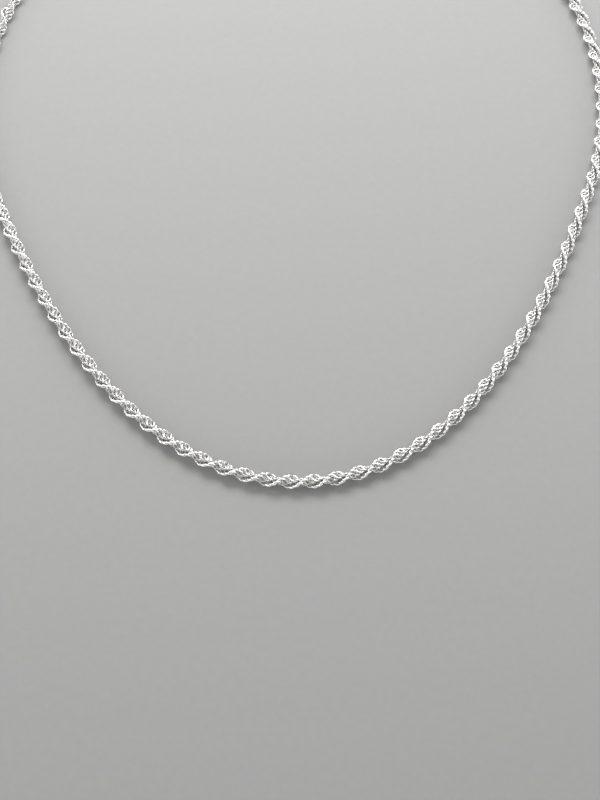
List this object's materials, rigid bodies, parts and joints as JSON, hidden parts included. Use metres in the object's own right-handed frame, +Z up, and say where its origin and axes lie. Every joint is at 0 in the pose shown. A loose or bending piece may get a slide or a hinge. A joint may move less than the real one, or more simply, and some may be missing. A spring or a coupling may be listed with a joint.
{
  "type": "rope chain necklace",
  "caption": "Twisted rope chain necklace in polished silver, with end caps, a lobster clasp, a catch ring and a plain oval tag.",
  "frame": {"origin": "on the surface that the necklace lies on, under the middle of the loop", "axes": "+Z up, +Y from the front of the chain to the clasp, +X to the wearer's left as the chain is seen from the front"},
  "size_m": [0.1368, 0.1601, 0.0033],
  "materials": {
    "rope": "polished silver wire",
    "findings": "polished silver",
    "spring": "bright spring wire"
  },
  "bodies": {
    "front": {"chain_front_00_a": "rope", "chain_front_00_b": "rope"},
    "left_01": {"chain_left_01_a": "rope", "chain_left_01_b": "rope"},
    "left_02": {"chain_left_02_a": "rope", "chain_left_02_b": "rope"},
    "left_03": {"chain_left_03_a": "rope", "chain_left_03_b": "rope"},
    "left_04": {"chain_left_04_a": "rope", "chain_left_04_b": "rope"},
    "left_05": {"chain_left_05_a": "rope", "chain_left_05_b": "rope"},
    "left_06": {"chain_left_06_a": "rope", "chain_left_06_b": "rope"},
    "left_07": {"chain_left_07_a": "rope", "chain_left_07_b": "rope"},
    "left_08": {"chain_left_08_a": "rope", "chain_left_08_b": "rope"},
    "left_09": {"chain_left_09_a": "rope", "chain_left_09_b": "rope"},
    "left_10": {"chain_left_10_a": "rope", "chain_left_10_b": "rope"},
    "left_11": {"chain_left_11_a": "rope", "chain_left_11_b": "rope", "end_cap_left": "findings"},
    "right_01": {"chain_right_01_a": "rope", "chain_right_01_b": "rope"},
    "right_02": {"chain_right_02_a": "rope", "chain_right_02_b": "rope"},
    "right_03": {"chain_right_03_a": "rope", "chain_right_03_b": "rope"},
    "right_04": {"chain_right_04_a": "rope", "chain_right_04_b": "rope"},
    "right_05": {"chain_right_05_a": "rope", "chain_right_05_b": "rope"},
    "right_06": {"chain_right_06_a": "rope", "chain_right_06_b": "rope"},
    "right_07": {"chain_right_07_a": "rope", "chain_right_07_b": "rope"},
    "right_08": {"chain_right_08_a": "rope", "chain_right_08_b": "rope"},
    "right_09": {"chain_right_09_a": "rope", "chain_right_09_b": "rope"},
    "right_10": {"chain_right_10_a": "rope", "chain_right_10_b": "rope"},
    "right_11": {"chain_right_11_a": "rope", "chain_right_11_b": "rope", "end_cap_right": "findings"},
    "jump_ring": {"jump_ring": "findings"},
    "catch_ring": {"catch_ring": "findings"},
    "clasp": {"clasp_body": "findings", "clasp_rivet": "findings", "clasp_spring": "spring"},
    "lever": {"clasp_lever": "findings"},
    "tag": {"tag": "findings"}
  },
  "joints": [
    {"name": "jump_ring_swing", "type": "hinge", "parent": "left_11", "child": "jump_ring", "pos_m": [-0.01665, 0.07517, 0.00138], "axis": [0, 0, 1], "range_deg": [-12, 12]},
    {"name": "clasp_swing", "type": "hinge", "parent": "jump_ring", "child": "clasp", "pos_m": [-0.01485, 0.07576, 0.00138], "axis": [0, 0, 1], "range_deg": [-15, 15]},
    {"name": "lever_open", "type": "hinge", "parent": "clasp", "child": "lever", "pos_m": [-0.01172, 0.07827, 0.00138], "axis": [0, 0, -1], "range_deg": [0, 24], "stiffness_Nm_per_rad": 0.001, "springref_deg": -17.19},
    {"name": "catch_ring_swing", "type": "hinge", "parent": "right_11", "child": "catch_ring", "pos_m": [0.01665, 0.07517, 0.00138], "axis": [0, 0, 1], "range_deg": [-12, 12]},
    {"name": "tag_swing", "type": "hinge", "parent": "catch_ring", "child": "tag", "pos_m": [0.01485, 0.07576, 0.00138], "axis": [0, 0, 1], "range_deg": [-15, 15]},
    {"name": "left_bend_01", "type": "hinge", "parent": "front", "child": "left_01", "pos_m": [-0.00879, -0.07733, 0.00138], "axis": [0, 0, 1], "range_deg": [-4.5, 4.5]},
    {"name": "left_lift_02", "type": "hinge", "parent": "left_01", "child": "left_02", "pos_m": [-0.02481, -0.06999, 0.00138], "axis": [-0.5724, -0.82, 0], "range_deg": [-4.5, 4.5]},
    {"name": "left_bend_03", "type": "hinge", "parent": "left_02", "child": "left_03", "pos_m": [-0.03781, -0.058, 0.00138], "axis": [0, 0, 1], "range_deg": [-4.5, 4.5]},
    {"name": "left_lift_04", "type": "hinge", "parent": "left_03", "child": "left_04", "pos_m": [-0.04816, -0.04363, 0.00138], "axis": [-0.8522, -0.5232, 0], "range_deg": [-4.5, 4.5]},
    {"name": "left_bend_05", "type": "hinge", "parent": "left_04", "child": "left_05", "pos_m": [-0.05658, -0.02804, 0.00138], "axis": [0, 0, 1], "range_deg": [-4.5, 4.5]},
    {"name": "left_lift_06", "type": "hinge", "parent": "left_05", "child": "left_06", "pos_m": [-0.06352, -0.01173, 0.00138], "axis": [-0.9462, -0.3234, 0], "range_deg": [-4.5, 4.5]},
    {"name": "left_bend_07", "type": "hinge", "parent": "left_06", "child": "left_07", "pos_m": [-0.06698, 0.00561, 0.00138], "axis": [0, 0, 1], "range_deg": [-4.5, 4.5]},
    {"name": "left_lift_08", "type": "hinge", "parent": "left_07", "child": "left_08", "pos_m": [-0.0658, 0.02325, 0.00138], "axis": [-0.9803, 0.1976, 0], "range_deg": [-4.5, 4.5]},
    {"name": "left_bend_09", "type": "hinge", "parent": "left_08", "child": "left_09", "pos_m": [-0.06005, 0.03997, 0.00138], "axis": [0, 0, 1], "range_deg": [-4.5, 4.5]},
    {"name": "left_lift_10", "type": "hinge", "parent": "left_09", "child": "left_10", "pos_m": [-0.05014, 0.05461, 0.00138], "axis": [-0.747, 0.6648, 0], "range_deg": [-4.5, 4.5]},
    {"name": "left_bend_11", "type": "hinge", "parent": "left_10", "child": "left_11", "pos_m": [-0.03676, 0.06615, 0.00138], "axis": [0, 0, 1], "range_deg": [-4.5, 4.5]},
    {"name": "right_bend_01", "type": "hinge", "parent": "front", "child": "right_01", "pos_m": [0.00879, -0.07733, 0.00138], "axis": [0, 0, 1], "range_deg": [-4.5, 4.5]},
    {"name": "right_lift_02", "type": "hinge", "parent": "right_01", "child": "right_02", "pos_m": [0.02481, -0.06999, 0.00138], "axis": [0.5724, -0.82, 0], "range_deg": [-4.5, 4.5]},
    {"name": "right_bend_03", "type": "hinge", "parent": "right_02", "child": "right_03", "pos_m": [0.03781, -0.058, 0.00138], "axis": [0, 0, 1], "range_deg": [-4.5, 4.5]},
    {"name": "right_lift_04", "type": "hinge", "parent": "right_03", "child": "right_04", "pos_m": [0.04816, -0.04363, 0.00138], "axis": [0.8522, -0.5232, 0], "range_deg": [-4.5, 4.5]},
    {"name": "right_bend_05", "type": "hinge", "parent": "right_04", "child": "right_05", "pos_m": [0.05658, -0.02804, 0.00138], "axis": [0, 0, 1], "range_deg": [-4.5, 4.5]},
    {"name": "right_lift_06", "type": "hinge", "parent": "right_05", "child": "right_06", "pos_m": [0.06352, -0.01173, 0.00138], "axis": [0.9462, -0.3234, 0], "range_deg": [-4.5, 4.5]},
    {"name": "right_bend_07", "type": "hinge", "parent": "right_06", "child": "right_07", "pos_m": [0.06698, 0.00561, 0.00138], "axis": [0, 0, 1], "range_deg": [-4.5, 4.5]},
    {"name": "right_lift_08", "type": "hinge", "parent": "right_07", "child": "right_08", "pos_m": [0.0658, 0.02325, 0.00138], "axis": [0.9803, 0.1976, 0], "range_deg": [-4.5, 4.5]},
    {"name": "right_bend_09", "type": "hinge", "parent": "right_08", "child": "right_09", "pos_m": [0.06005, 0.03997, 0.00138], "axis": [0, 0, 1], "range_deg": [-4.5, 4.5]},
    {"name": "right_lift_10", "type": "hinge", "parent": "right_09", "child": "right_10", "pos_m": [0.05014, 0.05461, 0.00138], "axis": [0.747, 0.6648, 0], "range_deg": [-4.5, 4.5]},
    {"name": "right_bend_11", "type": "hinge", "parent": "right_10", "child": "right_11", "pos_m": [0.03676, 0.06615, 0.00138], "axis": [0, 0, 1], "range_deg": [-4.5, 4.5]}
  ]
}
